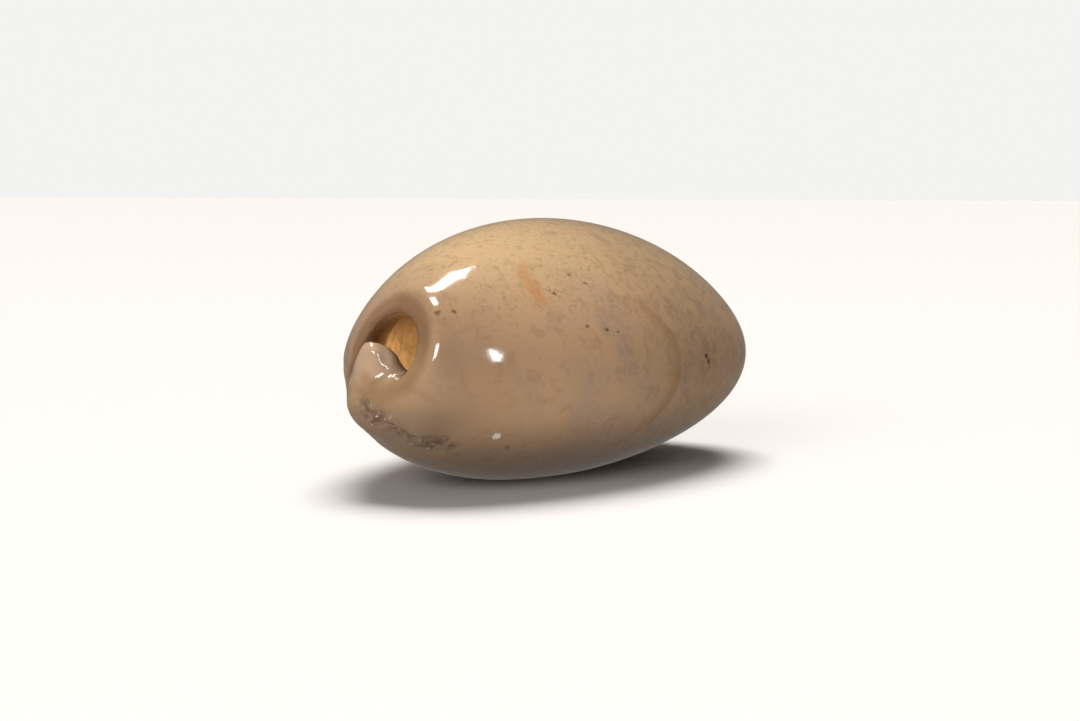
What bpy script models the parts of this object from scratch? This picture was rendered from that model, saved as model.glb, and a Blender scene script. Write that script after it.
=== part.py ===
"""A cowrie shell: one glossy, egg-shaped shell with a narrow toothed opening along its underside.

The front end, at -X, has the round canal with the knob of the inner lip standing in it.
The back end, at +X, has a smaller canal. +Y is the side of the outer lip. The shell rests on z = 0.
The form is a field, in millimetres, that is negative in the wall of the shell. Its zero surface
becomes the mesh, which is turned to metres at the end.
"""

import bpy
import numpy as np

# Body: an egg lying along X. The angle along it runs from the front end, 0, to the back end, pi.
LENGTH = 80.0
WIDTH = 49.6
CROWN_HEIGHT = 21.2  # from the axis up to the top
BELLY_DEPTH = 17.1  # from the axis down to the underside
AXIS_HEIGHT = 16.3  # less than the belly, so that a small flat spot is cut off where the shell rests
CROWN_FORWARD = 0.158  # share by which the crown is higher towards the front
BELLY_FORWARD = 0.151
WIDTH_BACKWARD = 0.052
MIDDLE_SHIFT = 0.175  # how far back the middle sits, as a share of half the length
FRONT_BLUNTNESS = 0.89  # 1 is an ellipse, less is blunter
BACK_BLUNTNESS = 0.77
CROWN_SHARPNESS = 0.065  # added to the bluntness at the top, and taken from it underneath
SHOULDER_SLOPE = 0.027  # share by which the ring is drawn in between the top, the sides and the bottom
POLE_BLEND = 0.1  # share of the ring's radius below which the angle round the axis fades out

# Wall
WALL = 2.6
LIP_WALL = 5.5  # along the opening
LIP_SPREAD = 9.0  # how far from the opening the wall stays thick
LIP_REACH = (-16, -9)  # and how deep
END_WALL = 5.0  # around the canals
FRONT_END = (-26, -38)  # x where the wall starts to thicken, and where it is thickest
BACK_END = (28, 38)
INNER_ROUNDING = 1.0

# Opening: a slit between the two lips. Its middle line, from the front canal to the back one,
# is given by two angles in degrees: along the shell, and round it from the outer lip's side.
# A span is four distances along the slit: where something starts, is full, fades, and has ended.
SLIT_LINE = [
    (15, 72), (17.3, 50), (16.4, 30), (17, 15), (20.5, 2), (26, -9),
    (36, -22), (52, -37), (90, -61), (130, -67), (164, -58),
]
SLIT_GAP = 2.8
SLIT_DEPTH = 18.0
LIP_ROUNDING = 2.6
FRONT_GAP = 1.9  # beside the knob
FRONT_ROUNDING = 0.7
FRONT_FADE = (12, 30)  # distances along the slit between which it widens to the full gap
TOOTH_PITCH = 2.7
TOOTH_HEIGHT = 0.5
TOOTH_SIDE = 0.3  # how far a tooth stands into the gap
TOOTH_REACH = 5.0  # how far the teeth run out over the lips
TOOTH_SPAN = (14, 20, 86, 92)
LIP_ROLL = (2.5, 2.5, 0.6)  # the outer lip rolls in: distance from the slit, half its width, and depth
LIP_ROLL_SPAN = (8, 13, 25, 40)
VALLEY = (-4.6, 1.5, 0.7)  # the furrow beside the knob's root, in the same way
VALLEY_SPAN = (5, 9, 15, 24)
VALLEY_LEVEL = (18, 15)  # z where it is absent, and where it is full
LINE_STEP = 0.5  # between points of the slit's middle line
SLIT_EFFECT = 17.0  # the slit changes nothing further away than this

# Front canal: a round hole whose lower part is filled by the knob
CANAL_MIDDLE = (1.5, 20.5)  # y and z at the front end
CANAL_RADIUS = 4.3
CANAL_STRETCH = 1.05  # taller than wide
CANAL_END = (-24, -18)  # x where the hole starts to close, and where it has closed
CANAL_ROUNDING = 2.4
CANAL_EDGE = 0.8  # rounding on the outer lip's side
CANAL_SIDE = (1, 4)  # y between which one rounding turns into the other
COLLAR = (7.9, 1.4, 0.5)  # radius, half its width, and height
TROUGH = (6.3, 0.9, 0.3)  # between the collar and the rim of the canal
COLLAR_FADE = ((-24, -34), (6, 1), (14, 19))  # where it is absent and full, in x, y and z

# Knob: rods that run from point to point, each point x, y, z and radius
KNOB = [(-35.3, 4.2, 13.5, 5.0), (-36.9, 3.75, 18.0, 2.8), (-37.6, 3.6, 20.0, 2.0)]
KNOB_FOOT = [(-36.2, 1.4, 13.7, 3.9), (-35.5, -2.5, 11.8, 3.6)]  # fills the canal below the knob
KNOB_HOLLOW = [
    (-39.2, 2.8, 21.6, 0.7), (-38.8, 1.8, 21.3, 0.8), (-38.6, 1.3, 20.6, 0.8), (-38.6, 1.1, 19.4, 0.7),
]
KNOB_BEND = 1.0  # rounding where two rods meet
HOLLOW_BEND = 0.5
HOLLOW_ROUNDING = 0.7
FOOT_ROUNDING = 1.5
KNOB_ROUNDING = 1.6  # where the knob grows out of the shell

# Back canal
NOTCH = (39.0, 4.2, 12.0)
NOTCH_RADIUS = 2.8
NOTCH_STRETCH = 2.5  # deeper than wide
NOTCH_ROUNDING = 2.0

# Mesh
GRID = 0.8
MARGIN = 2.0
ROUNDS = 4
EVENING = 0.6  # share of the way that a point moves to the middle of its neighbours
LAST_PULLS = 3
LONGEST_PULL = 0.6
FAR = 99.0
TRIANGLES = 9400
MM = 0.001


def smooth_max(a, b, width):
    blend = np.clip(0.5 + 0.5 * (a - b) / width, 0, 1)
    return b + (a - b) * blend + width * blend * (1 - blend)


def ease(value, start, full):
    """0 at the start and 1 at the full value, with a smooth way between. The start may be the larger one."""
    t = np.clip((value - start) / (full - start), 0, 1)
    return t * t * (3 - 2 * t)


def within(value, start, full, fading, end):
    return ease(value, start, full) * ease(value, end, fading)


def bump(distance, place, half_width, height):
    """A rounded ridge across a distance, or a furrow where it is taken away."""
    return height * np.exp(-(((distance - place) / half_width) ** 2))


def gradient(field, points, step=0.02):
    """The slope of a field at each point, by central differences."""
    slopes = []
    for axis in range(3):
        offset = np.zeros(3)
        offset[axis] = step
        slopes.append((field(points + offset) - field(points - offset)) / (2 * step))
    return np.stack(slopes, -1)


def heights(along):
    """How far the shell reaches above and below its axis."""
    return CROWN_HEIGHT * (1 + CROWN_FORWARD * along), BELLY_DEPTH * (1 + BELLY_FORWARD * along)


def ring_shape(sine, up, down):
    """How far the ring round the shell stands out at each height, as a share of its middle radius."""
    return (1 + (up - down) / (up + down) * sine**3) * (1 - SHOULDER_SLOPE * 4 * sine**2 * (1 - sine**2))


def bluntness(along, sine):
    return FRONT_BLUNTNESS + (BACK_BLUNTNESS - FRONT_BLUNTNESS) * (1 - along) / 2 + CROWN_SHARPNESS * sine**3


def body_share(points):
    """Zero on the egg's surface and negative inside it. Along is the cosine of the angle along the shell."""
    x, y, z = points.T
    k = MIDDLE_SHIFT
    along = (np.sqrt(np.maximum(1 - 4 * k * (2 * x / LENGTH - k), 0)) - 1) / (2 * k)
    up, down = heights(along)
    across = y / (WIDTH / 2 * (1 - WIDTH_BACKWARD * along))
    height = (z - AXIS_HEIGHT) / ((up + down) / 2)
    radius = np.sqrt(across**2 + height**2)
    sine = height / np.sqrt(radius**2 + POLE_BLEND**2)
    return (radius / ring_shape(sine, up, down)) ** (2 / bluntness(along, sine)) + along**2 - 1


def body_point(angle, turn):
    """A point of the egg's surface."""
    along, sine = np.cos(angle), np.sin(turn)
    up, down = heights(along)
    radius = np.sin(angle) ** bluntness(along, sine) * ring_shape(sine, up, down)
    x = LENGTH / 2 * (-along + MIDDLE_SHIFT * (1 - along**2))
    y = WIDTH / 2 * (1 - WIDTH_BACKWARD * along) * radius * np.cos(turn)
    return np.stack([x, y, AXIS_HEIGHT + (up + down) / 2 * radius * sine], -1)


def body_distance(points):
    share = body_share(points)
    return share / np.maximum(np.linalg.norm(gradient(body_share, points), axis=1), 1e-4)


def smooth_line(points, per_span):
    """A smooth curve through the points."""
    ends = np.concatenate([[2 * points[0] - points[1]], points, [2 * points[-1] - points[-2]]])
    t = np.linspace(0, 1, per_span, endpoint=False)[:, None]
    spans = []
    for a, b, c, d in zip(ends, ends[1:], ends[2:], ends[3:]):
        cubic = t**3 * (1.5 * (b - c) + (d - a) / 2)
        spans.append(b + t * (c - a) / 2 + t**2 * (a - 2.5 * b + 2 * c - d / 2) + cubic)
    return np.concatenate(spans)


def slit_frame():
    """Evenly spaced points of the slit's middle line, its direction, and the way straight out of the shell."""
    angles, turns = np.radians(np.array(SLIT_LINE, float)).T
    chart = smooth_line(np.stack([angles * np.cos(turns), angles * np.sin(turns)], -1), 30)
    line = body_point(np.hypot(*chart.T), np.arctan2(chart[:, 1], chart[:, 0]))
    length = np.concatenate([[0], np.cumsum(np.linalg.norm(np.diff(line, axis=0), axis=1))])
    even = np.arange(0, length[-1], LINE_STEP)
    line = np.stack([np.interp(even, length, line[:, i]) for i in range(3)], -1)
    direction = np.gradient(line, axis=0)
    direction /= np.linalg.norm(direction, axis=1, keepdims=True)
    out = gradient(body_share, line)
    out /= np.linalg.norm(out, axis=1, keepdims=True)
    return line, direction, out


LINE, DIRECTION, OUT = slit_frame()
SIDEWAYS = np.cross(DIRECTION, OUT)  # towards the outer lip


def slit_coordinates(points):
    """Distances of each point: along the slit, from its middle towards the outer lip, and out of the egg."""
    along = np.full(len(points), -1.0)
    side = np.full(len(points), FAR)
    out = np.zeros(len(points))
    batch, coarse = 20000, LINE[::12]
    for first in range(0, len(points), batch):
        some = np.arange(first, min(first + batch, len(points)))
        near = np.min(((points[some, None] - coarse) ** 2).sum(-1), axis=1) < SLIT_EFFECT**2
        some = some[near]
        if not len(some):
            continue
        nearest = np.argmin(((points[some, None] - LINE) ** 2).sum(-1), axis=1)
        place = nearest + ((points[some] - LINE[nearest]) * DIRECTION[nearest]).sum(-1) / LINE_STEP
        beyond = LINE_STEP * np.maximum(np.maximum(-place, place - len(LINE) + 1), 0)
        place = np.clip(place, 0, len(LINE) - 1.001)
        low = place.astype(int)
        share = (place - low)[:, None]
        middle = LINE[low] * (1 - share) + LINE[low + 1] * share
        sideways = SIDEWAYS[low] * (1 - share) + SIDEWAYS[low + 1] * share
        outward = OUT[low] * (1 - share) + OUT[low + 1] * share
        across = ((points[some] - middle) * sideways).sum(-1)
        along[some] = place * LINE_STEP
        side[some] = np.where(across < 0, -1, 1) * np.hypot(across, beyond)
        out[some] = ((points[some] - middle) * outward).sum(-1)
    return along, side, out


def rod_chain(points, ends, rounding):
    """Distance from rods that run from each end to the next, joined smoothly."""
    ends = np.array(ends)
    joined = np.full(len(points), FAR)
    for start, end in zip(ends, ends[1:]):
        way = end[:3] - start[:3]
        t = np.clip((points - start[:3]) @ way / (way @ way), 0, 1)
        radius = start[3] + t * (end[3] - start[3])
        rod = np.linalg.norm(points - start[:3] - t[:, None] * way, axis=1) - radius
        joined = -smooth_max(-joined, -rod, rounding)
    return joined


def knob_distance(points, to_slit):
    """Distance from the knob, which ends at the slit."""
    hollow = rod_chain(points, KNOB_HOLLOW, HOLLOW_BEND)
    knob = smooth_max(rod_chain(points, KNOB, KNOB_BEND), -hollow, HOLLOW_ROUNDING)
    knob = -smooth_max(-knob, -rod_chain(points, KNOB_FOOT, KNOB_BEND), FOOT_ROUNDING)
    return smooth_max(knob, to_slit, FRONT_ROUNDING)


def shell(points):
    """Negative in the wall of the shell, zero on its surface, and about the distance from it nearby."""
    x, y, z = points.T
    outer = body_distance(points)
    along, side, out = slit_coordinates(points)
    from_canal = np.hypot(y - CANAL_MIDDLE[0], (z - CANAL_MIDDLE[1]) / CANAL_STRETCH)

    # The collar round the canal, the lips beside the knob, and the teeth.
    collar = bump(from_canal, *COLLAR) - bump(from_canal, *TROUGH)
    for value, fade in zip((x, y, z), COLLAR_FADE):
        collar = collar * ease(value, *fade)
    outer = outer - collar + bump(side, *LIP_ROLL) * within(along, *LIP_ROLL_SPAN)
    outer = outer + bump(side, *VALLEY) * within(along, *VALLEY_SPAN) * ease(z, *VALLEY_LEVEL)
    ripple = np.cos(2 * np.pi * along / TOOTH_PITCH) * within(along, *TOOTH_SPAN)
    ripple = ripple * ease(out, -TOOTH_REACH, -TOOTH_REACH / 2)
    outer = outer - ripple * bump(side, 0, TOOTH_REACH, TOOTH_HEIGHT)

    # The wall, thicker along the lips and round the canals.
    lips = bump(side, 0, LIP_SPREAD, 1) * ease(out, *LIP_REACH)
    ends = np.maximum(ease(x, *FRONT_END), ease(x, *BACK_END))
    wall = WALL + (LIP_WALL - WALL) * lips + (END_WALL - WALL) * ends * (1 - lips)
    solid = smooth_max(outer, -outer - wall, INNER_ROUNDING)

    # The slit and the two canals are taken away.
    widened = ease(along, *FRONT_FADE)
    half_gap = (FRONT_GAP + (SLIT_GAP - FRONT_GAP) * widened) / 2
    gap = np.where(out > -SLIT_DEPTH, half_gap - TOOTH_SIDE * ripple - np.abs(side), -FAR)
    solid = smooth_max(solid, gap, FRONT_ROUNDING + (LIP_ROUNDING - FRONT_ROUNDING) * widened)
    canal = CANAL_RADIUS - from_canal - 2 * CANAL_RADIUS * ease(x, *CANAL_END)
    canal_rounding = CANAL_ROUNDING + (CANAL_EDGE - CANAL_ROUNDING) * ease(y, *CANAL_SIDE)
    solid = smooth_max(solid, canal, canal_rounding)
    notch = NOTCH_RADIUS - np.linalg.norm((points - NOTCH) / (NOTCH_STRETCH, 1, 1), axis=1)
    solid = smooth_max(solid, notch, NOTCH_ROUNDING)

    # The knob is added in the canal, and the flat spot is cut off.
    solid = -smooth_max(-solid, -knob_distance(points, half_gap + side), KNOB_ROUNDING)
    return np.maximum(solid, -z)


def fill_corner_contacts(inside):
    """Where two cells of the wall meet only along an edge, their two neighbours are added to the wall."""
    for axis in range(3):
        view = np.moveaxis(inside, axis, 0)
        a, b, c, d = view[:, :-1, :-1], view[:, 1:, :-1], view[:, :-1, 1:], view[:, 1:, 1:]
        contact = (a & d & ~b & ~c) | (b & c & ~a & ~d)
        for corner in (a, b, c, d):
            corner |= contact
    return inside


def surface_mesh(field, low, high, grid):
    """Closed mesh of the zero surface of a field: one point in each cell that the surface crosses."""
    sides = [np.arange(a, b + grid, grid) for a, b in zip(low, high)]
    corners = np.stack(np.meshgrid(*sides, indexing="ij"), -1)
    inside = (field(corners.reshape(-1, 3)) < 0).reshape(corners.shape[:3])
    inside = fill_corner_contacts(fill_corner_contacts(inside))
    ends = (slice(None, -1), slice(1, None))
    count = sum(inside[i, j, k].astype(int) for i in ends for j in ends for k in ends)
    crossed = (count > 0) & (count < 8)
    index = np.full(crossed.shape, -1)
    index[crossed] = np.arange(crossed.sum())
    points = corners[:-1, :-1, :-1][crossed] + grid / 2
    faces = []
    for axis in range(3):
        turned = np.moveaxis(inside, axis, 0)
        cells = np.moveaxis(index, axis, 0)
        a, b = turned[:-1, 1:-1, 1:-1], turned[1:, 1:-1, 1:-1]
        for outward in (True, False):
            i, j, k = np.nonzero((a & ~b) if outward else (~a & b))
            quad = [cells[i, j, k], cells[i, j + 1, k], cells[i, j + 1, k + 1], cells[i, j, k + 1]]
            faces.append(np.stack(quad if outward != (axis == 1) else quad[::-1], -1))
    return points, np.concatenate(faces)


def settle(field, points, faces, rounds):
    """Even out the mesh and draw its points onto the surface."""
    edges = np.concatenate([faces[:, [i, (i + 1) % 4]] for i in range(4)])
    count = np.bincount(edges[:, 0], minlength=len(points))[:, None]
    for turn in range(rounds):
        if turn:
            sums = [np.bincount(edges[:, 0], points[edges[:, 1], i], len(points)) for i in range(3)]
            points = points * (1 - EVENING) + np.stack(sums, -1) / count * EVENING
        for _ in range(LAST_PULLS if turn == rounds - 1 else 1):
            slope = gradient(field, points)
            steepness = np.maximum((slope**2).sum(-1), 0.1)
            pull = np.clip(field(points) / steepness, -LONGEST_PULL, LONGEST_PULL)
            points = points - pull[:, None] * slope
    return points


def make_shell():
    top = AXIS_HEIGHT + CROWN_HEIGHT * (1 + CROWN_FORWARD)
    low = (-LENGTH / 2 - MARGIN, -WIDTH / 2 - MARGIN, -MARGIN)
    high = (LENGTH / 2 + MARGIN, WIDTH / 2 + MARGIN, top + MARGIN)
    points, faces = surface_mesh(shell, low, high, GRID)
    points = settle(shell, points, faces, ROUNDS)
    points[:, :2] -= (points[:, :2].min(axis=0) + points[:, :2].max(axis=0)) / 2
    mesh = bpy.data.meshes.new("shell")
    mesh.from_pydata((points * MM).tolist(), [], faces.tolist())
    mesh.validate()
    mesh.shade_smooth()
    obj = bpy.data.objects.new("shell", mesh)
    bpy.context.scene.collection.objects.link(obj)
    thin = obj.modifiers.new("Fewer faces", "DECIMATE")
    thin.ratio = TRIANGLES / (2 * len(faces))
    return obj


def make_material():
    material = bpy.data.materials.new("glossy shell")
    material.use_nodes = True
    surface = material.node_tree.nodes["Principled BSDF"]
    surface.inputs["Base Color"].default_value = (0.42, 0.29, 0.18, 1)
    surface.inputs["Roughness"].default_value = 0.15
    surface.inputs["Coat Weight"].default_value = 0.5
    return material


def main():
    for old in list(bpy.data.objects):
        bpy.data.objects.remove(old)
    bpy.context.scene.unit_settings.scale_length = 1.0
    cowrie = make_shell()
    cowrie.data.materials.append(make_material())


main()
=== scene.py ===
import math

import bpy
import numpy as np
from mathutils import Matrix, Vector


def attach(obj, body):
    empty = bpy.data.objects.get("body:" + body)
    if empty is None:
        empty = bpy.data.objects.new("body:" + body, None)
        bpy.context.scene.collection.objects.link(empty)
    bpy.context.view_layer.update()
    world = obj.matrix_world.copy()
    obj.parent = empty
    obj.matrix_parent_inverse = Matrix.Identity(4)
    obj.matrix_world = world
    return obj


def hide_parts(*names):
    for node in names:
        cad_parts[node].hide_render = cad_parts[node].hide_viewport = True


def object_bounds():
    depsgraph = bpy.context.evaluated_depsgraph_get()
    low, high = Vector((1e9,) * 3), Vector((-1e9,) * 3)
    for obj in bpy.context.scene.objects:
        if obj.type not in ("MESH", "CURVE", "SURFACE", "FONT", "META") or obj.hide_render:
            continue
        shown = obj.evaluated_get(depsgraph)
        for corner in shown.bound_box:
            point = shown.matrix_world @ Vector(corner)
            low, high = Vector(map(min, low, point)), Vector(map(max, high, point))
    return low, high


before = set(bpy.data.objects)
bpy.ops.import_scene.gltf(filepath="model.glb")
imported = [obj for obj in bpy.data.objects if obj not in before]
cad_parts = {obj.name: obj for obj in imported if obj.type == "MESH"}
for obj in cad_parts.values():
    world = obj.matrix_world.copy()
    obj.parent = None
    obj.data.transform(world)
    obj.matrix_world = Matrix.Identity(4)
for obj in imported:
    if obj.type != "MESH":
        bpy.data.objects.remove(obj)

# A cowrie shell lying on its base, seen from the front end. Lengths are in millimetres until they reach
# Blender. The front end, with the round canal and its knob, is at -X; +Y is the side of the outer lip.

cadBox = [list(corner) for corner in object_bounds()]
mm = 0.001
farAway = 99.0   # more than any distance in the shell


def linearColour(hexCode):
    channels = [int(hexCode[i:i + 2], 16) / 255 for i in (1, 3, 5)]
    return tuple(c / 12.92 if c <= 0.04045 else ((c + 0.055) / 1.055) ** 2.4 for c in channels) + (1.0,)


# Shape: the egg, its wall, the slit between the lips and the canals, as one distance field

eggForm = {
    "length": 80.0,
    "width": 49.6,
    "crown": 21.2,           # from the axis up to the top
    "belly": 17.1,           # from the axis down to the underside
    "axisHeight": 16.3,
    "crownForward": 0.158,   # how much higher the crown is towards the front, as a share
    "bellyForward": 0.151,
    "widthBackward": 0.052,
    "middleShift": 0.175,    # how far back the middle sits, as a share of half the length
    "frontBlunt": 0.89,      # 1 is an ellipse, less is blunter
    "backBlunt": 0.77,
    "crownSharp": 0.065,     # added to that at the top, and taken from it underneath
    "shoulderSlope": 0.027,  # how far the ring is drawn in between the top, the sides and the bottom
}

wallForm = {
    "thin": 2.6,
    "lips": 5.5,
    "ends": 5.0,
    "lipReach": 9.0,         # from the slit, over which the lips thin out
    "lipDepth": (-16, -9),   # distances out of the egg over which they come in
    "frontEnd": (-26, -38),  # x over which each end thickens
    "backEnd": (28, 38),
    "rounding": 1.0,
}

slitForm = {
    # The middle line from the front canal to the back one: degrees along the shell, and degrees round it
    "line": [
        (15, 72), (17.3, 50), (16.4, 30), (17, 15), (20.5, 2), (26, -9),
        (36, -22), (52, -37), (90, -61), (130, -67), (164, -58),
    ],
    "gap": 2.8,
    "frontGap": 1.9,         # beside the knob
    "rounding": 2.6,
    "frontRounding": 0.7,
    "toothPitch": 2.7,
    "toothHeight": 0.5,
    "toothReach": 5.0,
    "toothSpan": (14, 20, 86, 92),      # distances along the slit
    "roll": (2.5, 2.5, 0.6),            # the outer lip rolls in: distance, half width and depth
    "rollSpan": (8, 13, 25, 40),
    "furrow": (-4.6, 1.5, 0.7),         # beside the knob's root
    "furrowSpan": (5, 9, 15, 24),
    "furrowTop": (18, 15),   # z over which it comes in, from above
    "widening": (12, 30),    # distances along the slit, from frontGap to gap
    "toothGap": 0.3,         # how far the teeth stand into the gap
    "depth": 18,             # how deep into the egg the slit goes
    "pointSpacing": 0.5,
    "nearby": 17.0,          # points further from the slit aren't measured against it
    "coarseStep": 12,        # one in so many of its points is enough to find the near ones
    "batch": 20000,          # points measured at a time
}

canalForm = {
    "middle": (1.5, 20.5),   # y and z at the front end
    "radius": 4.3,
    "stretch": 1.05,         # taller than wide
    "end": (-24, -18),       # x where it starts to close, and where it has closed
    "rounding": 2.4,
    "edge": 0.8,             # rounding on the outer lip's side
    "edgeSpan": (1, 4),      # y over which that comes in
    "collar": (7.9, 1.4, 0.5),          # radius, half width and height
    "trough": (6.3, 0.9, 0.3),
    "collarSpan": ((-24, -34), (6, 1), (14, 19)),   # x, y and z over which both come in
    "notch": (39.0, 4.2, 12.0),         # the canal at the back end
    "notchRadius": 2.8,
    "notchStretch": (2.5, 1, 1),
    "notchRounding": 2.0,
}

knobForm = {
    # Points of x, y, z and radius
    "body": [(-35.3, 4.2, 13.5, 5.0), (-36.9, 3.75, 18.0, 2.8), (-37.6, 3.6, 20.0, 2.0)],
    "foot": [(-36.2, 1.4, 13.7, 3.9), (-35.5, -2.5, 11.8, 3.6)],
    "hollow": [
        (-39.2, 2.8, 21.6, 0.7), (-38.8, 1.8, 21.3, 0.8), (-38.6, 1.3, 20.6, 0.8), (-38.6, 1.1, 19.4, 0.7),
    ],
    "hollowRounding": 0.5,
    "hollowEdge": 0.7,
    "footRounding": 1.5,
    "rounding": 1.6,
}

# Small lumps and pits on the gritty front margin, where the glaze is thin
crustForm = {
    "path": [
        (-39.2, 3.4, 12.4), (-38.7, 1.5, 10.9), (-38.0, -0.4, 9.6),
        (-36.8, -2.1, 8.5), (-35.5, -3.7, 7.9), (-33.7, -5.7, 7.3),
    ],
    "spread": 2.6,           # from the path to the crust's edge
    "core": 0.6,             # from the path to where it has its full height
    "lump": 0.16,
    "lumpMm": 1.5,
    "waves": 9,
    "waveSpread": (0.7, 1.6),
    "seed": 7,
}

meshForm = {
    "grid": 0.55,
    "margin": 2,             # empty cells round the shell, in mm
    "top": 43,
    "rounds": 4,
    "evening": 0.6,          # how far a point moves towards the middle of its neighbours, as a share
    "lastPulls": 3,          # pulls onto the surface in the last round; the others have one
    "longestPull": 0.6,
    "leastSlope": 0.1,
    "body": "root",
    "node": "shell",
}


def smoothMax(a, b, width):
    blend = np.clip(0.5 + 0.5 * (a - b) / width, 0, 1)
    return b + (a - b) * blend + width * blend * (1 - blend)


def ease(value, start, full):
    t = np.clip((value - start) / (full - start), 0, 1)
    return t * t * (3 - 2 * t)


def within(value, start, full, fading, end):
    return ease(value, start, full) * ease(value, end, fading)


def bell(distance, place, halfWidth, height):
    return height * np.exp(-(((distance - place) / halfWidth) ** 2))


def slopeOf(field, points, step=0.02):
    slopes = []
    for axis in range(3):
        offset = np.zeros(3)
        offset[axis] = step
        slopes.append((field(points + offset) - field(points - offset)) / (2 * step))
    return np.stack(slopes, -1)


def eggHeights(along):
    return (
        eggForm["crown"] * (1 + eggForm["crownForward"] * along),
        eggForm["belly"] * (1 + eggForm["bellyForward"] * along),
    )


def ringShape(sine, up, down):
    # How far the ring round the egg stands out at each height, as a share of its middle radius
    drawnIn = eggForm["shoulderSlope"] * 4 * sine**2 * (1 - sine**2)
    return (1 + (up - down) / (up + down) * sine**3) * (1 - drawnIn)


def bluntness(along, sine):
    straight = eggForm["frontBlunt"] + (eggForm["backBlunt"] - eggForm["frontBlunt"]) * (1 - along) / 2
    return straight + eggForm["crownSharp"] * sine**3


def eggShare(points):
    # Zero on the egg's surface, negative inside
    x, y, z = points.T
    k = eggForm["middleShift"]
    along = (np.sqrt(np.maximum(1 - 4 * k * (2 * x / eggForm["length"] - k), 0)) - 1) / (2 * k)
    up, down = eggHeights(along)
    across = y / (eggForm["width"] / 2 * (1 - eggForm["widthBackward"] * along))
    height = (z - eggForm["axisHeight"]) / ((up + down) / 2)
    radius = np.sqrt(across**2 + height**2)
    sine = height / np.sqrt(radius**2 + 0.01)  # fades at the axis, where the angle round it has no meaning
    return (radius / ringShape(sine, up, down)) ** (2 / bluntness(along, sine)) + along**2 - 1


def eggPoint(angle, turn):
    along, sine = np.cos(angle), np.sin(turn)
    up, down = eggHeights(along)
    radius = np.sin(angle) ** bluntness(along, sine) * ringShape(sine, up, down)
    x = eggForm["length"] / 2 * (-along + eggForm["middleShift"] * (1 - along**2))
    y = eggForm["width"] / 2 * (1 - eggForm["widthBackward"] * along) * radius * np.cos(turn)
    return np.stack([x, y, eggForm["axisHeight"] + (up + down) / 2 * radius * sine], -1)


def eggDistance(points):
    return eggShare(points) / np.maximum(np.linalg.norm(slopeOf(eggShare, points), axis=1), 1e-4)


def smoothLine(points, perSpan):
    # A Catmull-Rom curve through the points
    ends = np.concatenate([[2 * points[0] - points[1]], points, [2 * points[-1] - points[-2]]])
    t = np.linspace(0, 1, perSpan, endpoint=False)[:, None]
    spans = []
    for a, b, c, d in zip(ends, ends[1:], ends[2:], ends[3:]):
        cubic = t**3 * (1.5 * (b - c) + (d - a) / 2)
        spans.append(b + t * (c - a) / 2 + t**2 * (a - 2.5 * b + 2 * c - d / 2) + cubic)
    return np.concatenate(spans)


def makeSlitFrame():
    angles, turns = np.radians(np.array(slitForm["line"], float)).T
    chart = smoothLine(np.stack([angles * np.cos(turns), angles * np.sin(turns)], -1), 30)
    line = eggPoint(np.hypot(*chart.T), np.arctan2(chart[:, 1], chart[:, 0]))
    length = np.concatenate([[0], np.cumsum(np.linalg.norm(np.diff(line, axis=0), axis=1))])
    even = np.arange(0, length[-1], slitForm["pointSpacing"])
    line = np.stack([np.interp(even, length, line[:, i]) for i in range(3)], -1)
    forward = np.gradient(line, axis=0)
    forward /= np.linalg.norm(forward, axis=1, keepdims=True)
    outward = slopeOf(eggShare, line)
    outward /= np.linalg.norm(outward, axis=1, keepdims=True)
    return line, forward, outward, np.cross(forward, outward)


slitLine, slitForward, slitOutward, slitSideways = makeSlitFrame()


def slitPlaces(points):
    # Distance along the slit, distance from its middle towards the outer lip, and distance out of the egg
    spacing = slitForm["pointSpacing"]
    along = np.full(len(points), -1.0)
    side = np.full(len(points), farAway)
    out = np.zeros(len(points))
    batch, coarseLine = slitForm["batch"], slitLine[::slitForm["coarseStep"]]
    for first in range(0, len(points), batch):
        some = np.arange(first, min(first + batch, len(points)))
        near = ((points[some, None] - coarseLine) ** 2).sum(-1).min(axis=1) < slitForm["nearby"] ** 2
        some = some[near]
        if not len(some):
            continue
        nearest = ((points[some, None] - slitLine) ** 2).sum(-1).argmin(axis=1)
        place = nearest + ((points[some] - slitLine[nearest]) * slitForward[nearest]).sum(-1) / spacing
        beyond = spacing * np.maximum(np.maximum(-place, place - len(slitLine) + 1), 0)
        place = np.clip(place, 0, len(slitLine) - 1.001)
        low = place.astype(int)
        share = (place - low)[:, None]
        middle, sideways, outward = (
            rows[low] * (1 - share) + rows[low + 1] * share for rows in (slitLine, slitSideways, slitOutward)
        )
        across = ((points[some] - middle) * sideways).sum(-1)
        along[some] = place * spacing
        side[some] = np.where(across < 0, -1, 1) * np.hypot(across, beyond)
        out[some] = ((points[some] - middle) * outward).sum(-1)
    return along, side, out


def rodChain(points, ends, rounding=1.0):
    # Distance from rods that run from each end to the next
    ends = np.array(ends)
    joined = np.full(len(points), farAway)
    for start, end in zip(ends, ends[1:]):
        way = end[:3] - start[:3]
        t = np.clip((points - start[:3]) @ way / (way @ way), 0, 1)
        radius = start[3] + t * (end[3] - start[3])
        rod = np.linalg.norm(points - start[:3] - t[:, None] * way, axis=1) - radius
        joined = -smoothMax(-joined, -rod, rounding)
    return joined


def pathDistance(points, path):
    return rodChain(points, [(*point, 0) for point in path], 0.01)


def knobDistance(points):
    hollow = rodChain(points, knobForm["hollow"], knobForm["hollowRounding"])
    knob = smoothMax(rodChain(points, knobForm["body"]), -hollow, knobForm["hollowEdge"])
    return -smoothMax(-knob, -rodChain(points, knobForm["foot"]), knobForm["footRounding"])


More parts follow.
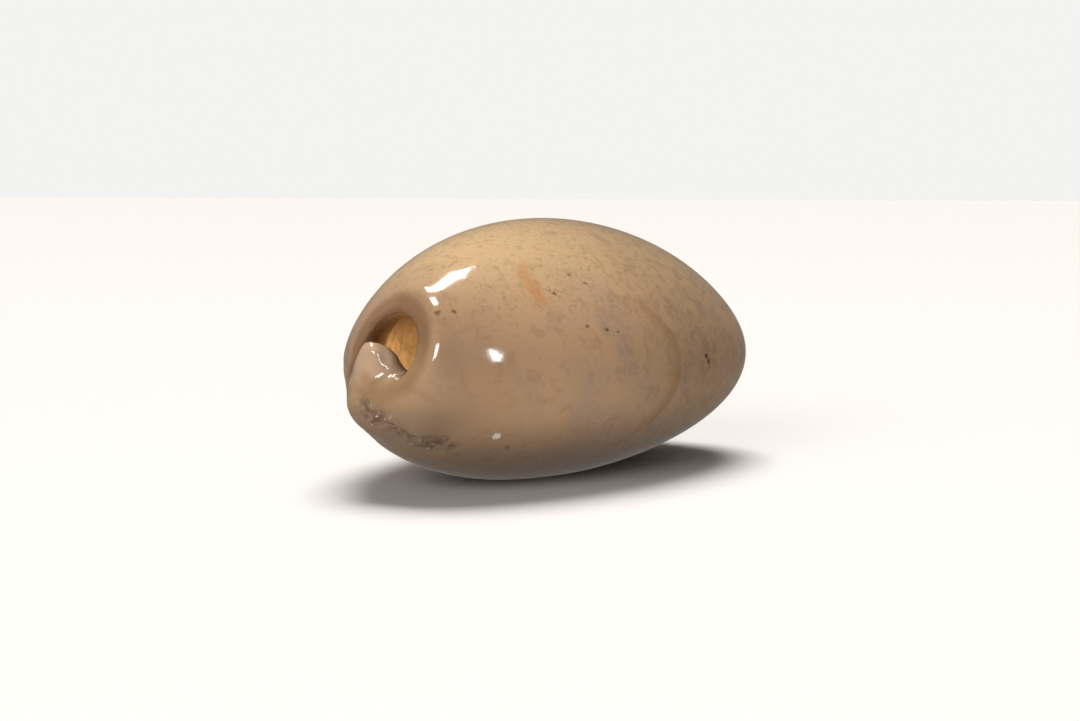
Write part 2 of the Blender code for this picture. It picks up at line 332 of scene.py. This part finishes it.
def lumps(points, sizeMm):
    # Uneven small waves, from sines whose ways cross
    rng = np.random.default_rng(crustForm["seed"])
    total = np.zeros(len(points))
    for _ in range(crustForm["waves"]):
        way = rng.normal(size=3)
        way *= 2 * np.pi / (sizeMm * rng.uniform(*crustForm["waveSpread"]) * np.linalg.norm(way))
        total += np.sin(points @ way + rng.uniform(0, 6.28)) / math.sqrt(crustForm["waves"])
    return total


def canalRadius(points):
    middle = canalForm["middle"]
    return np.hypot(points[:, 1] - middle[0], (points[:, 2] - middle[1]) / canalForm["stretch"])


def shellField(points):
    # Negative in the shell's wall, zero on its surface
    x, y, z = points.T
    outer = eggDistance(points)
    along, side, out = slitPlaces(points)
    fromCanal = canalRadius(points)

    collar = bell(fromCanal, *canalForm["collar"]) - bell(fromCanal, *canalForm["trough"])
    xSpan, ySpan, zSpan = canalForm["collarSpan"]
    outer = outer - collar * ease(x, *xSpan) * ease(y, *ySpan) * ease(z, *zSpan)
    outer = outer + bell(side, *slitForm["roll"]) * within(along, *slitForm["rollSpan"])
    furrow = bell(side, *slitForm["furrow"]) * within(along, *slitForm["furrowSpan"])
    outer = outer + furrow * ease(z, *slitForm["furrowTop"])
    ripple = np.cos(2 * np.pi * along / slitForm["toothPitch"]) * within(along, *slitForm["toothSpan"])
    ripple = ripple * ease(out, -slitForm["toothReach"], -slitForm["toothReach"] / 2)
    outer = outer - ripple * bell(side, 0, slitForm["toothReach"], slitForm["toothHeight"])

    lips = bell(side, 0, wallForm["lipReach"], 1) * ease(out, *wallForm["lipDepth"])
    ends = np.maximum(ease(x, *wallForm["frontEnd"]), ease(x, *wallForm["backEnd"]))
    wall = wallForm["thin"] + (wallForm["lips"] - wallForm["thin"]) * lips
    wall = wall + (wallForm["ends"] - wallForm["thin"]) * ends * (1 - lips)
    solid = smoothMax(outer, -outer - wall, wallForm["rounding"])

    widened = ease(along, *slitForm["widening"])
    halfGap = (slitForm["frontGap"] + (slitForm["gap"] - slitForm["frontGap"]) * widened) / 2
    toothed = halfGap - slitForm["toothGap"] * ripple - np.abs(side)
    gap = np.where(out > -slitForm["depth"], toothed, -farAway)
    rounding = slitForm["frontRounding"] + (slitForm["rounding"] - slitForm["frontRounding"]) * widened
    solid = smoothMax(solid, gap, rounding)
    canal = canalForm["radius"] - fromCanal - 2 * canalForm["radius"] * ease(x, *canalForm["end"])
    onEdge = ease(y, *canalForm["edgeSpan"])
    rounding = canalForm["rounding"] + (canalForm["edge"] - canalForm["rounding"]) * onEdge
    solid = smoothMax(solid, canal, rounding)
    fromNotch = np.linalg.norm((points - canalForm["notch"]) / canalForm["notchStretch"], axis=1)
    solid = smoothMax(solid, canalForm["notchRadius"] - fromNotch, canalForm["notchRounding"])

    knob = smoothMax(knobDistance(points), halfGap + side, slitForm["frontRounding"])
    solid = -smoothMax(-solid, -knob, knobForm["rounding"])
    crust = ease(pathDistance(points, crustForm["path"]), crustForm["spread"], crustForm["core"])
    solid = solid + crustForm["lump"] * crust * lumps(points, crustForm["lumpMm"])
    return np.maximum(solid, -z)


def fillCornerContacts(inside):
    # Where two cells of the wall meet only along an edge, their two neighbours join the wall
    for axis in range(3):
        view = np.moveaxis(inside, axis, 0)
        a, b, c, d = view[:, :-1, :-1], view[:, 1:, :-1], view[:, :-1, 1:], view[:, 1:, 1:]
        contact = (a & d & ~b & ~c) | (b & c & ~a & ~d)
        for corner in (a, b, c, d):
            corner |= contact
    return inside


def wrapField(field, low, high, grid):
    # One point in each cell that the surface crosses, one face for each grid edge that it crosses
    sides = [np.arange(a, b + grid, grid) for a, b in zip(low, high)]
    corners = np.stack(np.meshgrid(*sides, indexing="ij"), -1)
    inside = (field(corners.reshape(-1, 3)) < 0).reshape(corners.shape[:3])
    inside = fillCornerContacts(fillCornerContacts(inside))
    nx, ny, nz = (n - 1 for n in inside.shape)
    count = sum(
        inside[i:nx + i, j:ny + j, k:nz + k].astype(int) for i in (0, 1) for j in (0, 1) for k in (0, 1)
    )
    crossed = (count > 0) & (count < 8)
    index = np.full(crossed.shape, -1)
    index[crossed] = np.arange(crossed.sum())
    points = corners[:-1, :-1, :-1][crossed] + grid / 2
    faces = []
    for axis in range(3):
        turned, cells = np.moveaxis(inside, axis, 0), np.moveaxis(index, axis, 0)
        a, b = turned[:-1, 1:-1, 1:-1], turned[1:, 1:-1, 1:-1]
        for outward in (True, False):
            i, j, k = np.nonzero((a & ~b) if outward else (~a & b))
            ring = (cells[i, j, k], cells[i, j + 1, k], cells[i, j + 1, k + 1], cells[i, j, k + 1])
            quad = np.stack(ring, -1)
            faces.append(quad if outward != (axis == 1) else quad[:, ::-1])
    return points, np.concatenate(faces)


def settlePoints(field, points, faces):
    # Evens out the mesh and draws its points onto the surface
    edges = np.concatenate([faces[:, [i, (i + 1) % 4]] for i in range(4)])
    count = np.bincount(edges[:, 0], minlength=len(points))[:, None]
    rounds, evening, longest = meshForm["rounds"], meshForm["evening"], meshForm["longestPull"]
    for turn in range(rounds):
        if turn:
            sums = [np.bincount(edges[:, 0], points[edges[:, 1], i], len(points)) for i in range(3)]
            points = points * (1 - evening) + np.stack(sums, -1) / count * evening
        for _ in range(meshForm["lastPulls"] if turn == rounds - 1 else 1):
            slope = slopeOf(field, points)
            steepness = np.maximum((slope**2).sum(-1), meshForm["leastSlope"])
            step = np.clip(field(points) / steepness, -longest, longest)
            points = points - step[:, None] * slope
    return points


def addPointValues(mesh, name, values):
    mesh.attributes.new(name, "FLOAT", "POINT").data.foreach_set("value", values.astype(np.float32))


def makeShell():
    halfLength, halfWidth = eggForm["length"] / 2, eggForm["width"] / 2
    margin = meshForm["margin"]
    low = (-halfLength - margin, -halfWidth - margin, -margin)
    high = (halfLength + margin, halfWidth + margin, meshForm["top"])
    points, faces = wrapField(shellField, low, high, meshForm["grid"])
    points = settlePoints(shellField, points, faces)
    along, side = slitPlaces(points)[:2]
    # The fine mesh fills the same box as the CAD solid that it stands for
    cadLow, cadHigh = (np.array(corner) / mm for corner in cadBox)
    placed = cadLow + (points - points.min(axis=0)) / np.ptp(points, axis=0) * (cadHigh - cadLow)
    mesh = bpy.data.meshes.new("cowrieShell")
    mesh.from_pydata((placed * mm).tolist(), [], faces.tolist())
    mesh.validate()
    mesh.shade_smooth()
    addPointValues(mesh, "depth", -eggDistance(points))
    addPointValues(mesh, "fromSlit", np.abs(side))
    addPointValues(mesh, "along", along)
    addPointValues(mesh, "fromCanal", canalRadius(points))
    fromKnob = np.minimum(rodChain(points, knobForm["body"]), rodChain(points, knobForm["foot"]))
    addPointValues(mesh, "fromKnob", fromKnob)
    shell = bpy.data.objects.new("cowrieShell", mesh)
    bpy.context.scene.collection.objects.link(shell)
    print("shell mesh:", len(points), "points,", 2 * len(faces), "triangles")
    return shell


def addNode(tree, kind, inputs=None, **settings):
    # Adds a node; an input is a value for its socket or another node's output
    node = tree.nodes.new(kind)
    for name, value in settings.items():
        setattr(node, name, value)
    for name, value in (inputs or {}).items():
        if isinstance(value, bpy.types.NodeSocket):
            tree.links.new(value, node.inputs[name])
        else:
            node.inputs[name].default_value = value
    return node


shellLook = {
    "beige": "#B09070",
    "pinkBeige": "#A68B73",
    "yellowBeige": "#B69C76",
    "olive": "#745D42",
    "greyBrown": "#7C6855",
    "frontYellow": "#B1956E",
    "rimPink": "#75583F",
    "knobPink": "#B49A82",
    "stain": "#9A6E45",
    "lipBrownAndShade": "#8A6B50",
    "inside": "#6E4020",
    "deepInsidePaintedLight": "#C88A4C",
    "dark": "#3B2413",
    "gritBrown": "#4E3626",
    "frontTan": "#7F644A",
    "redBrown": "#5A2110",
    "orange": "#A86A30",
    "arcDark": "#7D5B3B",
    "chalk": "#C9BCA8",
    "cloudMm": 9.0,          # soft clouds of tone under the glaze
    "mottleMm": 2.0,
    "dabMm": 0.9,
    "grainMm": 0.35,
    "ringMiddle": (-11.5, 0.0, 16.3),   # the ring mark on the near flank
    "ringRadius": 11.4,
    "stainPlace": (-39.3, 3.9, 16.6),   # on the knob, beside the slit
    "paintedGlintColour": "#E6DCCD",
    "paintedGlowColour": "#DCA460",
    "paintedGlow": 0.80,
    "roughness": 0.10,
    "ior": 1.53,
}

spots = [
    # Place in mm, radius in mm and strength of each dark fleck
    ((-35.3, -5.0, 25.3), 0.42, 0.65),
    ((-33.9, -6.7, 25.7), 0.26, 0.6),
    ((-20.6, -14.3, 28.2), 0.30, 0.75),
    ((-20.3, -14.5, 27.7), 0.26, 0.75),
    ((-15.5, -14.2, 30.1), 0.26, 0.6),
    ((-13.9, -15.9, 29.0), 0.24, 0.55),
    ((-18.0, -18.6, 23.1), 0.26, 0.6),
    ((-14.8, -19.9, 22.5), 0.24, 0.7),
    ((-12.9, -20.6, 22.1), 0.22, 0.6),
    ((7.2, -24.8, 17.4), 0.42, 1.0),
    ((7.9, -24.8, 16.6), 0.34, 1.0),
    ((-27.4, -11.1, 6.9), 0.28, 0.6),
    ((-37.0, 0.5, 26.9), 0.28, 0.55),
    ((-36.6, -1.3, 26.1), 0.22, 0.5),
]

# Painted highlights: pale spots low on the front margin, where glints are painted into the colour
paintedGlintSpots = [((-30.2, -11.1, 8.7), 0.50), ((-36.6, -2.6, 9.4), 0.36), ((-35.2, -4.6, 8.6), 0.30)]

# Curves on the surface in mm, as points that the colour follows
orangePath = [(-20.9, -9.4, 31.9), (-22.4, -11.0, 30.2), (-22.7, -12.9, 28.2), (-23.2, -14.1, 26.7)]
creasePath = [(-39.6, -3.0, 15.6), (-39.3, -4.3, 15.2), (-38.8, -5.4, 14.4), (-38.0, -6.5, 13.5)]
furrowPath = [(-38.0, 6.9, 14.7), (-37.6, 6.8, 13.3), (-37.4, 6.4, 12.2), (-37.4, 5.3, 11.3)]


def makeShellGlaze():
    # Polished aragonite: the animal's mantle laid it as a smooth glaze over a chalky wall. To the eye it is
    # a beige body with soft clouds and flecks under a clear gloss, like fired china.
    material = bpy.data.materials.new("polishedAragoniteShell")
    material.use_nodes = True
    tree = material.node_tree
    tree.nodes.clear()

    def math(operation, a, b):
        return addNode(tree, "ShaderNodeMath", {0: a, 1: b}, operation=operation).outputs[0]

    def times(*factors):
        product = factors[0]
        for factor in factors[1:]:
            product = math("MULTIPLY", product, factor)
        return product

    def step(value, start, end):
        ramp = addNode(
            tree, "ShaderNodeMapRange",
            {"Value": value, "From Min": start, "From Max": end}, interpolation_type="SMOOTHSTEP",
        )
        return ramp.outputs["Result"]

    def mix(factor, a, b):
        return addNode(tree, "ShaderNodeMix", {0: factor, 6: a, 7: b}, data_type="RGBA").outputs[2]

    def noise(sizeMm, detail, distortion=0.0):
        node = addNode(
            tree, "ShaderNodeTexNoise",
            {"Vector": place, "Scale": 1 / sizeMm, "Detail": detail, "Distortion": distortion},
        )
        return node.outputs["Fac"]

    def value(name):
        return addNode(tree, "ShaderNodeAttribute", attribute_name=name).outputs["Fac"]

    def tone(name):
        return linearColour(shellLook[name])

    coordinates = addNode(tree, "ShaderNodeTexCoord").outputs["Object"]
    place = addNode(
        tree, "ShaderNodeVectorMath", {0: coordinates, 1: (1 / mm, 1 / mm, 1 / mm)}, operation="MULTIPLY"
    ).outputs[0]
    x, y, z = addNode(tree, "ShaderNodeSeparateXYZ", {0: place}).outputs

    def distanceTo(point, vector=None):
        node = addNode(tree, "ShaderNodeVectorMath", {0: vector or place, 1: point}, operation="DISTANCE")
        return node.outputs["Value"]

    def closest(path, steps=4):
        points = [
            tuple(a + (b - a) * i / steps for a, b in zip(start, end))
            for start, end in zip(path, path[1:])
            for i in range(steps)
        ]
        nearest = distanceTo(points[0])
        for point in points[1:]:
            nearest = math("MINIMUM", nearest, distanceTo(point))
        return nearest

    depth, fromSlit, along = value("depth"), value("fromSlit"), value("along")
    fromCanal, fromKnob = value("fromCanal"), value("fromKnob")
    atFront = step(x, -26, -33)

    clouds = noise(shellLook["cloudMm"], 2.0, 0.6)
    mottle = noise(shellLook["mottleMm"], 4.0, 0.8)
    dabs = noise(shellLook["dabMm"], 2.0, 0.5)
    grain = noise(shellLook["grainMm"], 2.0)

    # In each step, the two numbers are where a colour starts and where it is full: mm on the shell, or a share
    # of a noise. A number on its own is the colour's strength.

    # The ground: yellow beige on the crown, pinker at the sides, darker olive brown towards the back as
    # painted shade of the side away from the lights, greyer and darker low down as painted shade of the
    # underside
    colour = mix(step(clouds, 0.38, 0.62), tone("beige"), tone("pinkBeige"))
    colour = mix(times(step(z, 24, 34), 0.7), colour, tone("yellowBeige"))
    # Painted shade: the back end is darkened with olive brown, in a smooth ramp and in mottled patches
    colour = mix(times(step(x, -18, 12), 0.45), colour, tone("olive"))
    colour = mix(times(step(x, -20, 12), step(mottle, 0.36, 0.66), 0.30), colour, tone("olive"))
    # Painted shade: greyer and darker low down, where the flanks turn under
    colour = mix(times(step(z, 12, 4), 0.75), colour, tone("greyBrown"))
    colour = mix(times(step(mottle, 0.50, 0.68), 0.22), colour, tone("olive"))
    colour = mix(times(step(dabs, 0.58, 0.66), step(z, 18, 28), 0.32), colour, tone("olive"))
    colour = mix(times(step(dabs, 0.40, 0.32), step(clouds, 0.45, 0.6), 0.30), colour, tone("orange"))
    colour = mix(times(step(grain, 0.60, 0.72), 0.16), colour, tone("chalk"))

    # The front end: the grey pink rim, the browner trough, the yellowish band under the knob, and the knob
    colour = mix(times(step(x, -24, -37), 0.42), colour, tone("frontTan"))
    # Painted shade: darker grey brown low on the front end, under the knob
    colour = mix(times(step(x, -32, -38), step(z, 16, 10), 0.85), colour, tone("greyBrown"))
    colour = mix(times(step(fromCanal, 7.6, 6.0), atFront, 0.85), colour, tone("rimPink"))
    colour = mix(times(step(x, -37, -39.2), step(z, 12, 14.5), 0.35), colour, tone("frontYellow"))
    colour = mix(times(step(fromKnob, 0.7, 0.1), step(z, 14.5, 17), 0.9), colour, tone("knobPink"))
    colour = mix(times(step(distanceTo(shellLook["stainPlace"]), 1.6, 0.4), 0.55), colour, tone("stain"))
    # Painted shade: a thin dark line in the crease at the knob's root
    colour = mix(times(step(closest(creasePath), 0.95, 0.1), 0.40), colour, tone("lipBrownAndShade"))
    # Painted shade: a darker brown band in the furrow beside the knob
    colour = mix(times(step(closest(furrowPath), 1.1, 0.2), 0.6), colour, tone("lipBrownAndShade"))
    colour = mix(times(step(fromSlit, 2.2, 1.0), step(along, 34, 26), 0.7), colour, tone("lipBrownAndShade"))

    # The ring mark on the near flank, the orange streak and the dark flecks
    flat = addNode(tree, "ShaderNodeCombineXYZ", {0: x, 2: z}).outputs[0]
    ring = math("SUBTRACT", distanceTo(shellLook["ringMiddle"], flat), shellLook["ringRadius"])
    ring = math("ADD", ring, times(math("SUBTRACT", clouds, 0.5), 1.6))
    onArc = times(step(x, -9, -4), step(y, -15, -18))
    colour = mix(times(step(ring, 0.45, -0.55), step(ring, -3.6, -0.6), onArc, 0.42), colour, tone("arcDark"))
    streak = math("ADD", closest(orangePath), times(math("SUBTRACT", mottle, 0.5), 4.0))
    colour = mix(times(step(streak, 1.8, 0.2), step(y, -8.5, -10.5), 0.45), colour, tone("orange"))
    uneven = times(math("SUBTRACT", grain, 0.5), 0.7)
    # Painted highlights: the pale glint spots
    for spot, radius in paintedGlintSpots:
        pale = step(math("ADD", distanceTo(spot), uneven), radius + 0.2, radius - 0.1)
        colour = mix(times(pale, 0.75), colour, tone("paintedGlintColour"))
    for spot, radius, strength in spots:
        fleck = step(math("ADD", distanceTo(spot), uneven), radius + 0.22, radius - 0.08)
        colour = mix(times(fleck, strength), colour, tone("redBrown" if strength == 1.0 else "dark"))

    # Behind the lips the wall turns dark brown; further in it turns a lighter golden brown, the wall's own
    # brown lightened as painted light, as if lit through the canal
    behind = times(step(depth, 0.9, 3.0), step(fromKnob, 0.3, 1.2))
    colour = mix(behind, colour, tone("inside"))
    colour = mix(step(depth, 5, 13), colour, tone("deepInsidePaintedLight"))

    # The gritty front margin, where the glaze is thin: brown flakes, chalky specks and a duller surface
    grit = closest(crustForm["path"])
    onGrit = step(grit, crustForm["spread"], 0.7)
    flakes = times(onGrit, step(noise(1.3, 4.0, 1.0), 0.50, 0.58))
    specks = times(onGrit, step(noise(0.7, 1.0), 0.66, 0.72))
    colour = mix(times(onGrit, 0.45), colour, tone("greyBrown"))
    colour = mix(times(flakes, 0.60), colour, tone("gritBrown"))
    colour = mix(specks, colour, tone("chalk"))

    waves = noise(1.8, 2.0)
    height = math("ADD", times(waves, 0.030), times(flakes, -0.05))
    bump = addNode(tree, "ShaderNodeBump", {"Height": times(height, mm), "Distance": 1.0, "Strength": 1.0})
    # Painted light: an emission makes the hollow glow golden brown, for light that the thin wall lets through
    lowDown = math("ADD", step(z, 24, 18), 0.08)
    patchy = math("ADD", mottle, 0.2)
    paintedGlow = times(step(depth, 2, 3), step(x, -35, -30), lowDown, patchy, shellLook["paintedGlow"])
    roughness = math("ADD", shellLook["roughness"], times(onGrit, 0.22))
    roughness = math("ADD", roughness, times(behind, 0.25))
    shader = addNode(
        tree, "ShaderNodeBsdfPrincipled",
        {
            "Base Color": colour, "Roughness": roughness, "IOR": shellLook["ior"],
            "Normal": bump.outputs["Normal"],
            "Emission Color": tone("paintedGlowColour"), "Emission Strength": paintedGlow,
        },
    )
    addNode(tree, "ShaderNodeOutputMaterial", {"Surface": shader.outputs["BSDF"]})
    return material


# Studio: a pale floor, two soft lights, four small lamps for the highlights, and the camera

studio = {
    "floorSize": 12.0,
    "floor": "#C2C2C6",
    "backdrop": "#F3F3F1",       # what the camera sees over the floor
    "room": "#F0E6DA",           # what lights the shell from all round
    "roomStrength": 0.24,
    "aim": (0.0, 0.0, 19.2),     # mm
}

# Direction, angular size in degrees, strength and colour
softLights = {
    "skyWindow": ((0.34, 0.18, 0.92), 35, 5.3, "#FFFAF0"),
    "frontWindow": ((-0.94, 0.0, 0.34), 40, 2.1, "#FFF8F0"),
}

# Direction, distance and size in m, power in W, and turn in degrees
glintLights = {
    "upperPane": ((0.20, 0.22, 0.95), 1.0, (0.24, 0.17), 2.4, -59),
    "lowerPane": ((-0.10, 0.06, 0.99), 1.0, (0.26, 0.22), 4.0, -40),
    "roundLamp": ((-0.28, -0.85, 0.44), 1.0, (0.11, 0.26), 1.7, 0),
    "sideLamp": ((-0.76, -0.24, 0.55), 1.0, (0.46, 0.24), 6.0, 107),
}

cameraView = {
    "turn": -59.7,               # degrees round the shell from the side
    "rise": 5.0,
    "distance": 300.0,           # mm
    "lens": 65.98,
    "aim": (0.0, 0.0, 18.3),
    "lower": 2.12,               # mm that the aim sits under the middle of the frame
    "right": 0.29,
}


def makeFloor():
    bpy.ops.mesh.primitive_plane_add(size=studio["floorSize"])
    floor = bpy.context.object
    floor.name = "paleFloor"
    material = bpy.data.materials.new("mattPaleCard")
    material.use_nodes = True
    shader = material.node_tree.nodes["Principled BSDF"]
    shader.inputs["Base Color"].default_value = linearColour(studio["floor"])
    shader.inputs["Roughness"].default_value = 0.8
    floor.data.materials.append(material)
    floor.visible_glossy = False  # keeps the horizon out of the gloss


def addLamp(name, kind, direction, distance, turn=0.0):
    light = bpy.data.lights.new(name, kind)
    lamp = bpy.data.objects.new(name, light)
    way = Vector(direction).normalized()
    lamp.location = Vector(studio["aim"]) * mm + way * distance
    turned = math.radians(turn)
    across = way.cross(Vector((math.cos(turned), math.sin(turned), 0))).normalized()
    lamp.rotation_euler = Matrix((across.cross(way), across, way)).transposed().to_euler()
    bpy.context.scene.collection.objects.link(lamp)
    return lamp


def makeLights():
    for name, (direction, spread, strength, tint) in softLights.items():
        lamp = addLamp(name, "SUN", direction, 1.0)
        lamp.data.angle = math.radians(spread)
        lamp.data.energy = strength
        lamp.data.color = linearColour(tint)[:3]
        lamp.visible_glossy = False  # the panes and lamps below give the crisp highlights
    for name, (direction, distance, size, power, turn) in glintLights.items():
        lamp = addLamp(name, "AREA", direction, distance, turn)
        lamp.data.shape = "ELLIPSE" if name == "roundLamp" else "RECTANGLE"
        lamp.data.size, lamp.data.size_y = size
        lamp.data.energy = power
        lamp.visible_diffuse = False  # a highlight and nothing more


def makeWorld():
    world = bpy.data.worlds.new("softRoom")
    world.use_nodes = True
    tree = world.node_tree
    tree.nodes.clear()
    room = addNode(
        tree, "ShaderNodeBackground",
        {"Color": linearColour(studio["room"]), "Strength": studio["roomStrength"]},
    )
    backdrop = addNode(tree, "ShaderNodeBackground", {"Color": linearColour(studio["backdrop"])})
    seen = addNode(tree, "ShaderNodeLightPath").outputs["Is Camera Ray"]
    both = addNode(
        tree, "ShaderNodeMixShader",
        {0: seen, 1: room.outputs["Background"], 2: backdrop.outputs["Background"]},
    )
    addNode(tree, "ShaderNodeOutputWorld", {"Surface": both.outputs["Shader"]})
    bpy.context.scene.world = world


def makeCamera():
    turn, rise = math.radians(cameraView["turn"]), math.radians(cameraView["rise"])
    right = Vector((math.cos(turn), math.sin(turn), 0))
    back = Vector((math.sin(turn) * math.cos(rise), -math.cos(turn) * math.cos(rise), math.sin(rise)))
    up = back.cross(right)
    aim = Vector(cameraView["aim"]) - up * cameraView["lower"] + right * cameraView["right"]
    camera = bpy.data.objects.new("camera", bpy.data.cameras.new("camera"))
    camera.data.lens = cameraView["lens"]
    camera.matrix_world = Matrix.Translation((aim + back * cameraView["distance"]) * mm) @ Matrix(
        (right, up, back)
    ).transposed().to_4x4()
    bpy.context.scene.collection.objects.link(camera)
    bpy.context.scene.camera = camera


makeCamera()
shell = makeShell()
shell.data.materials.append(makeShellGlaze())
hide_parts(meshForm["node"])
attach(shell, meshForm["body"])
print("shell glazed")
makeFloor()
makeWorld()
makeLights()
bpy.context.scene.view_settings.view_transform = "Standard"
print("studio lit")
bpy.context.view_layer.update()
